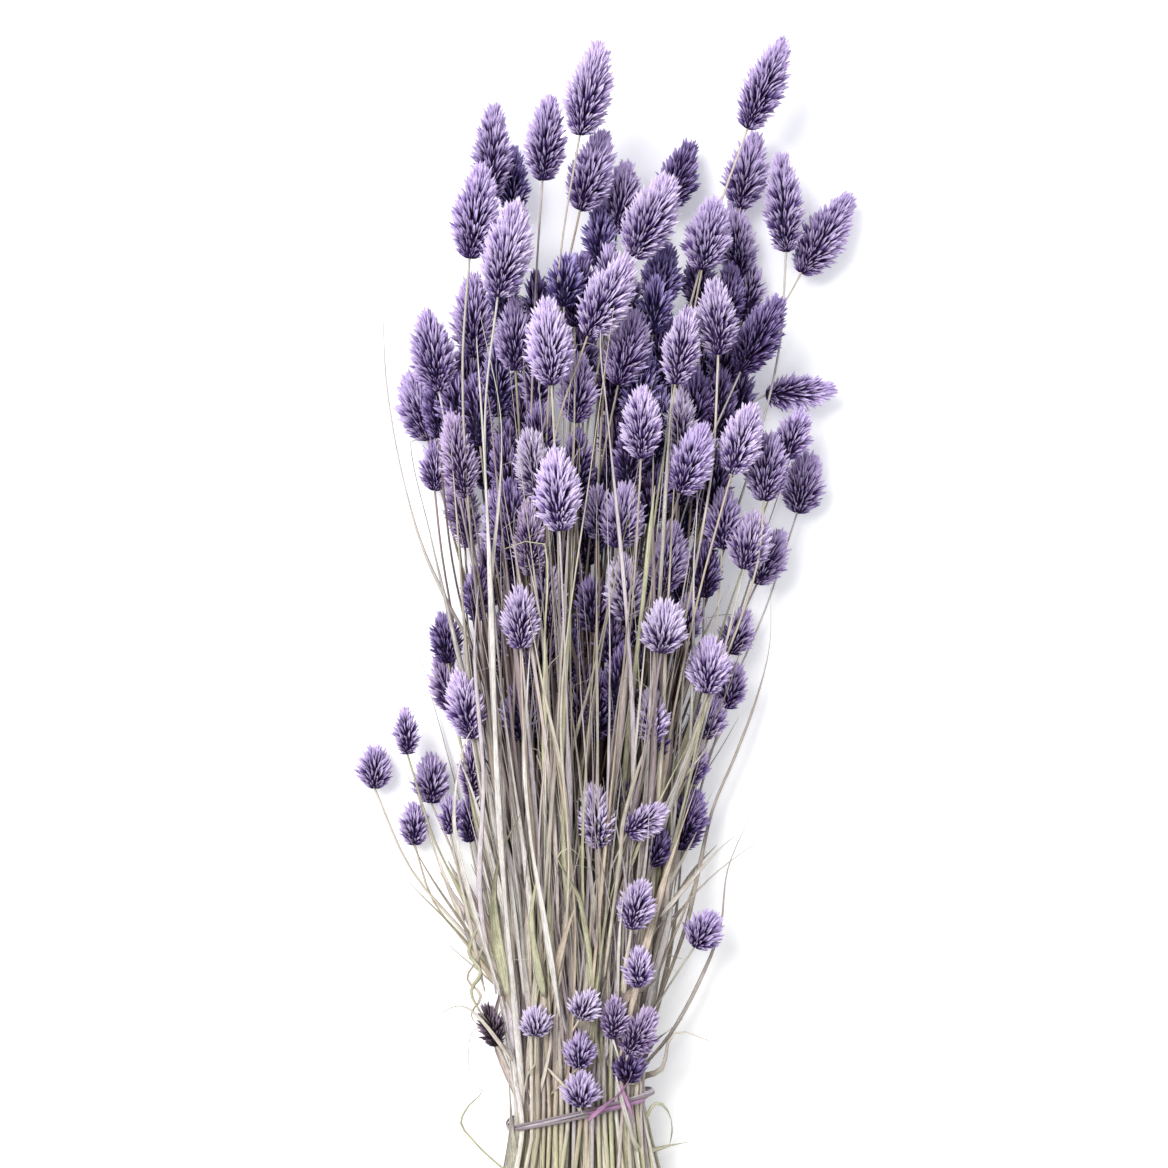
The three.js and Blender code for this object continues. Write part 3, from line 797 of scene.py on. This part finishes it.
def stem_route(plan):
    """Leaves the tie along the bunch and bends into the head's own axis."""
    start = through_tie(plan["slot"])
    base = plan["base"]
    distance = (base - start[-1]).length
    handles = start[-1] + Vector((0, distance * 0.35, 0)), base - plan["axis"] * distance * 0.25
    steps = max(3, round(distance / (40 * MM)))
    way = interpolate_bezier(start[-1], *handles, base, steps + 1)
    for number, point in enumerate(way):
        share = number / steps
        stray = noise.noise_vector(Vector((plan["slot"].x * 400, plan["slot"].y * 400, share * 3)))
        point += stray * 9 * MM * math.sin(math.pi * share)
        point.z = max(point.z, 1.5 * MM)
    return start + way[1:]


# ---------------------------------------------------------------------------------------------------------
# Putting the bunch together

BUNCH_HALF_WIDTH = (42, 100)           # in mm, at the tie and among the heads
BUNCH_HEIGHT = (38, 76)                # the same


def crown(along, side):
    """Height in mm of the bunch's upper side, from distances in mm from the tie."""
    half = blend(*BUNCH_HALF_WIDTH, ease((along - 20) / 330))
    return 4 + blend(*BUNCH_HEIGHT, ease(along / 300)) * (1 - min(1, abs(side) / half) ** 2.4)


def shaded(tint, point):
    """The straw's colour at a point: browner and darker the deeper it lies inside the bunch, as painted shade
    that eases off among the heads in the open, and greener below the tie."""
    along, side = (point.y - TIE_MIDDLE.y) / MM, (point.x - TIE_MIDDLE.x) / MM
    depth = crown(along, side) - point.z / MM
    below_tie = ease((4 - along) / 22)
    greenness = 0.1 + 0.6 * (tint.x * 37 % 1)
    colour = tint.lerp(GREEN_STRAW, below_tie * greenness)
    # Painted shade: darker the deeper a point lies under the bunch's upper side, less so below the tie and
    # among the heads in the open.
    in_open = ease((along - 200) / 200)
    dark = ease((depth - 1) / 24) * (1 - 0.5 * below_tie) * (1 - 0.75 * in_open)
    return Vector([channel * blend(1, least, dark) for channel, least in zip(colour, PAINTED_SHADE_DEEP_IN_BUNCH)])


FIRST_KNOT, KNOT_GAP = (20, 60), (70, 120)   # in mm, from the tie to the first swelling and then between them
SHEATH_LENGTH = 75 * MM
SHORTEST_BLADE = 45 * MM


def culm_blade(piece, route, dice, number, tint, seed):
    """A blade that leaves the stem's sheath and strays a little from the stem."""
    run = run_of(route)
    start_at = dice.uniform(0.02, 0.34) * run[-1] + CUT_LENGTH
    length = min(dice.uniform(70, 210) * MM, run[-1] - start_at - 30 * MM)
    if length < SHORTEST_BLADE:
        return
    stray = Vector((dice.uniform(-1, 1), 0, dice.uniform(-0.5, 0.9))).normalized() * dice.uniform(4, 26) * MM
    along = [point for point, at in zip(route, run) if start_at <= at <= start_at + length]
    if len(along) < 5:
        return
    last = len(along) - 1
    way = []
    for index, point in enumerate(along):
        share = index / last
        kink = noise.noise_vector(Vector((seed * 3.1, share * 2.5, number))) * 3 * MM * share
        at = point + stray * share ** 1.6 + kink
        at.z = max(at.z, FLOOR_ROOM + 1.5 * MM)
        way.append(at)
    way = smooth_route(way, BLADE_STEP)
    blade(piece, way, dice.uniform(0.9, 2.4) * MM, dice, tint, f"blade_{number}", seed + number * 0.37)


def build_culm(culm, seed, spots, fullness=1.0, blades=2):
    dice = random.Random(SEED * 1000 + seed)
    piece = Piece()
    route = smooth_route(culm.route, STEM_STEP)
    if not culm.node:
        clear_of_heads(route, spots, culm)
    run = run_of(route)
    tint = Vector(STRAWS[dice.choice(COMMON_STRAWS)]) * dice.uniform(0.8, 1.08)
    knots = []
    knot = CUT_LENGTH + dice.uniform(*FIRST_KNOT) * MM
    while knot < run[-1] * 0.62:
        knots.append(knot)
        knot += dice.uniform(*KNOT_GAP) * MM
    thick = dice.uniform(0.85, 1.1)

    def radius_at(share):
        return blend(STEM_RADIUS[0], STEM_RADIUS[1], ease(share * 1.15)) * thick

    def section(index, x, y):
        swell = sum(math.exp(-((run[index] - at) / (4 * MM)) ** 2) for at in knots)
        radius = radius_at(run[index] / run[-1]) * (1 + 0.4 * swell)
        return x * radius, y * radius

    def stem_colour(index):
        swell = sum(math.exp(-((run[index] - at) / (7 * MM)) ** 2) for at in knots)
        return shaded(tint, route[index]) * (1 - 0.4 * min(1, swell))

    bar_along(piece, route, 6, section, stem_colour, "stem", seed)
    for number, at in enumerate(knots[:2]):
        wrapped = [index for index in range(len(route)) if at <= run[index] <= at + SHEATH_LENGTH]
        if len(wrapped) > 3:
            sheath(piece, [route[index] for index in wrapped], radius_at(at / run[-1]) + 0.45 * MM,
                   tint * dice.uniform(0.9, 1.1), seed + 0.11 * number)
    for number in range(blades):
        culm_blade(piece, route, dice, number, Vector(STRAWS[dice.choice(COMMON_STRAWS)]), seed)
    seed_head(piece, culm.route[-1], culm.axis, culm.length, culm.half_width, dice, fullness)
    deep, middle, pale, tip_start = DYES[culm.dye]
    tone = dice.uniform(0.86, 1.14)
    made = piece.finish(culm.name, ("straw", "scales"), {
        # The dye darkened to near black: painted shade between the spikelets and on the core.
        "painted_shade_of_dye": Vector(deep),
        "dye_middle": Vector(middle) * tone,
        "dye_pale": Vector(pale) * blend(1, tone, 0.5),
        "dye_tip": Vector((tip_start, 0, 0))})
    if culm.node:
        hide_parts(culm.node)
    return made


def build_blade(name, route, half_width, colour, seed, spots=None, node=None, step=BLADE_STEP):
    dice = random.Random(SEED * 2000 + seed)
    piece = Piece()
    tint = Vector(STRAWS[colour]) * dice.uniform(0.9, 1.08)
    smooth = smooth_route(route, step)
    if spots:
        clear_of_heads(smooth, spots)
    for point in smooth:
        point.z = max(point.z, FLOOR_ROOM + half_width)
    blade(piece, smooth, half_width, dice, tint, "blade_0", seed)
    made = piece.finish(name, ("straw",))
    if node:
        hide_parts(node)
    return made


def loose_straw(dice):
    """A headless stalk or a blade that lies on top of the other stems, often with a kink and a bent tip."""
    bearing = dice.uniform(-1, 1)
    reach = 70 + 320 * dice.random() ** 1.25
    slot = Vector((bearing * 31 + dice.uniform(-3, 3), dice.uniform(4, 15.5))) * MM
    points = through_tie(slot)
    drift = bearing * dice.uniform(0.0, 0.17) + dice.uniform(-0.13, 0.13)
    sway = dice.uniform(-11, 11)
    depth = dice.uniform(-4, 9)
    steps = max(3, round(reach / 45))
    for step in range(1, steps + 1):
        share = step / steps
        along = 14 + (reach - 14) * share
        side = slot.x / MM + drift * along + sway * math.sin(share * 4)
        points.append(place(along, side, max(3, crown(along, side) - depth)))
    if dice.random() < 0.4:
        heading = dice.uniform(0.4, 1.5) * dice.choice((-1, 1))
        tail = dice.uniform(8, 24) * MM
        way = Vector((math.sin(heading), math.cos(heading), dice.uniform(-0.4, 0.1)))
        points += [points[-1] + way * tail * 0.5, points[-1] + way * tail - Vector((0, tail * 0.25, 0))]
    return points


def loop_point(turn, spread, shift):
    """A point of the tie's loop, and the way out from the stems there. The loop begins on the upper side."""
    half_high = (TIE_HIGH.z - TIE_LOW.z) / 2 - 0.8 * MM + spread
    half_wide = (TIE_HIGH.x - TIE_LOW.x) / 2 / math.cos(TIE_SLANT) - STRAND_ROOM + spread
    angle = math.tau * turn
    outward = Vector((math.sin(angle), math.cos(angle)))
    flat = (half_wide - half_high) * max(-1, min(1, 1.6 * math.sin(angle)))
    at = Vector((flat + outward.x * half_high, outward.y * half_high))
    return slot_point(at) + Vector((0, shift, 0)), (slot_point(outward) - TIE_MIDDLE).normalized()


RINGS_PER_TURN = 64


def strand(piece, turns, spread, wander, width, thickness, colour, strip, seed):
    """One flat strand of the tie, wound from one turn of the loop to another."""
    steps = round(RINGS_PER_TURN * (turns[1] - turns[0]))
    spots = []
    for step in range(steps + 1):
        turn = blend(*turns, step / steps)
        spots.append(loop_point(turn, spread * (1 + 0.3 * math.sin(turn * 23)),
                                wander * math.sin(turn * math.tau * 1.37 + seed)))
    route = [at for at, _ in spots]

    def section(index, x, y):
        share = index / steps
        slim = min(1, 0.3 + 12 * share, 0.3 + 12 * (1 - share))
        return turned(x * width * slim, y * thickness * slim, 0.5 * math.sin(share * 19 + seed))

    bar_along(piece, route, 8, section, lambda index: Vector(STRAWS[colour]), strip, seed,
              lambda index: spots[index][1])


def build_tie():
    """Three strands of dyed grass wound round the stems where the CAD loop is."""
    piece = Piece()
    strand(piece, (-0.62, 0.71), 0.1 * MM, 0.9 * MM, 1.15 * MM, 0.65 * MM, "lilac", "stem", 1)
    strand(piece, (-0.20, 1.17), 0.9 * MM, 1.6 * MM, 0.75 * MM, 0.50 * MM, "mauve", "sheath", 2)
    strand(piece, (0.01, 0.13), 1.3 * MM, 2.0 * MM, 1.00 * MM, 0.45 * MM, "pink", "blade_0", 3)
    made = piece.finish("tie_strands", ("strand",))
    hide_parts("tie")


def head_spots(culms):
    """The heads as balls: a tree of their places seen from above, and their middles and radii."""
    balls = [(culm, culm.route[-1] + culm.axis * culm.length * share, culm.half_width * wide)
             for culm in culms for share, wide in ((0.15, 0.7), (0.4, 0.95), (0.65, 0.8), (0.88, 0.45))]
    tree = kdtree.KDTree(len(balls))
    for number, (_, middle, _) in enumerate(balls):
        tree.insert((middle.x, middle.y, 0), number)
    tree.balance()
    return tree, balls


WIDEST_HEAD = 11 * MM                  # half its width
HEAD_ROOM = 0.7 * MM                   # kept between a stalk's middle and a head


def clear_of_heads(route, spots, own=None):
    """Leads a stalk over or under the heads that it would run through."""
    tree, balls = spots
    lifts = [0.0] * len(route)
    for index, point in enumerate(route[4:-1], 4):
        for _, number, gap in tree.find_range((point.x, point.y, 0), WIDEST_HEAD):
            culm, middle, radius = balls[number]
            if culm is own or gap >= radius:
                continue
            room = math.sqrt(radius * radius - gap * gap) + HEAD_ROOM
            rise = point.z + lifts[index] - middle.z
            if abs(rise) < room:
                lifts[index] += (room if rise > 0.5 * room else -room) - rise
    for _ in range(3):
        lifts = [lifts[0]] + [(a + 2 * b + c) / 4 for a, b, c in zip(lifts, lifts[1:], lifts[2:])] + [0.0]
    for point, lift in zip(route, lifts):
        point.z = max(point.z + lift, 1.5 * MM)


def main():
    dice = random.Random(SEED)
    culms = [culm_of_node(number + 1, dye) for number, dye in enumerate(CAD_DYES)]
    fixed = [{"base": culm.route[-1], "axis": culm.axis, "length": culm.length, "half_width": culm.half_width}
             for culm in culms]
    plans = [planned(*plan) for plan in MORE_CULMS] + hidden_plans(dice)
    part_heads(plans, fixed)
    taken = []
    for culm in culms:
        at = culm.route[1] - TIE_MIDDLE
        taken.append(Vector((at.x / math.cos(TIE_SLANT), at.z)))
    assign_slots(plans, taken)
    for number, plan in enumerate(plans):
        culms.append(Culm(f"grass_{number + 1:03d}", stem_route(plan), plan["axis"], plan["length"],
                          plan["half_width"], plan["dye"]))
    shown = len(CAD_DYES) + len(MORE_CULMS)
    spots = head_spots(culms)
    for number, culm in enumerate(culms):
        build_culm(culm, number + 1, spots, 1.0 if number < shown else HIDDEN_FULLNESS)
    leaves = sorted(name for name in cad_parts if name.startswith("leaf_"))
    for number, node in enumerate(leaves):
        rings = rings_of(node)
        build_blade(f"{node}_blade", [middle for middle, _ in rings[:-1]], max(radius for _, radius in rings),
                    LEAF_COLOURS[number], LEAF_SEEDS + number, node=node)
    for number, (half_width, colour, *points) in enumerate(MORE_BLADES):
        build_blade(f"blade_{number + 1:02d}", [place(*point) for point in points], half_width * MM, colour,
                    BLADE_SEEDS + number, step=SHORT_BLADE_STEP)
    for number in range(LOOSE_STRAWS):
        half_width = (dice.uniform(0.4, 0.8) if number % 5 < 2 else dice.uniform(0.8, 2.8)) * MM
        build_blade(f"straw_{number + 1:03d}", loose_straw(dice), half_width, dice.choice(COMMON_STRAWS),
                    STRAW_SEEDS + number, spots)
    build_tie()


def set_table_and_light():
    bpy.ops.mesh.primitive_plane_add(size=6)
    table = bpy.context.object
    table.name = "table"
    table.data.materials.append(pale_table())

    world = bpy.data.worlds.new("soft_room")
    bpy.context.scene.world = world
    world.use_nodes = True
    sky = world.node_tree.nodes["Background"]
    sky.inputs["Color"].default_value = (0.95, 0.97, 1.0, 1)
    sky.inputs["Strength"].default_value = 0.70

    def soft_box(name, place_at, aim, size, power, colour):
        light = bpy.data.lights.new(name, "AREA")
        light.shape = "SQUARE"
        light.size = size
        light.energy = power
        light.color = colour
        lamp = bpy.data.objects.new(name, light)
        lamp.location = place_at
        lamp.rotation_euler = (aim - place_at).to_track_quat("-Z", "Y").to_euler()
        bpy.context.scene.collection.objects.link(lamp)

    soft_box("window", Vector((-1.3, 1.1, 2.6)), Vector((0, 0, 0)), 1.6, 86, (1.0, 0.985, 0.97))


def set_camera():
    """Straight above the bunch, its tie near the lower edge of the view."""
    view_width = 584 * MM              # at the height of the bunch's middle
    lens, sensor = 85.0, 36.0
    looked_at = place(265.5, 2, 40)
    camera = bpy.data.cameras.new("camera")
    camera.lens = lens
    camera.sensor_width = sensor
    eye = bpy.data.objects.new("camera", camera)
    eye.location = looked_at + UP * view_width * lens / sensor
    bpy.context.scene.collection.objects.link(eye)
    bpy.context.scene.camera = eye


main()
set_table_and_light()
set_camera()
bpy.context.scene.view_settings.view_transform = "Standard"
for spare in [CORE, *BLANKS.values(), *(mesh for row in SPIKELETS for mesh in row)]:
    bpy.data.meshes.remove(spare)
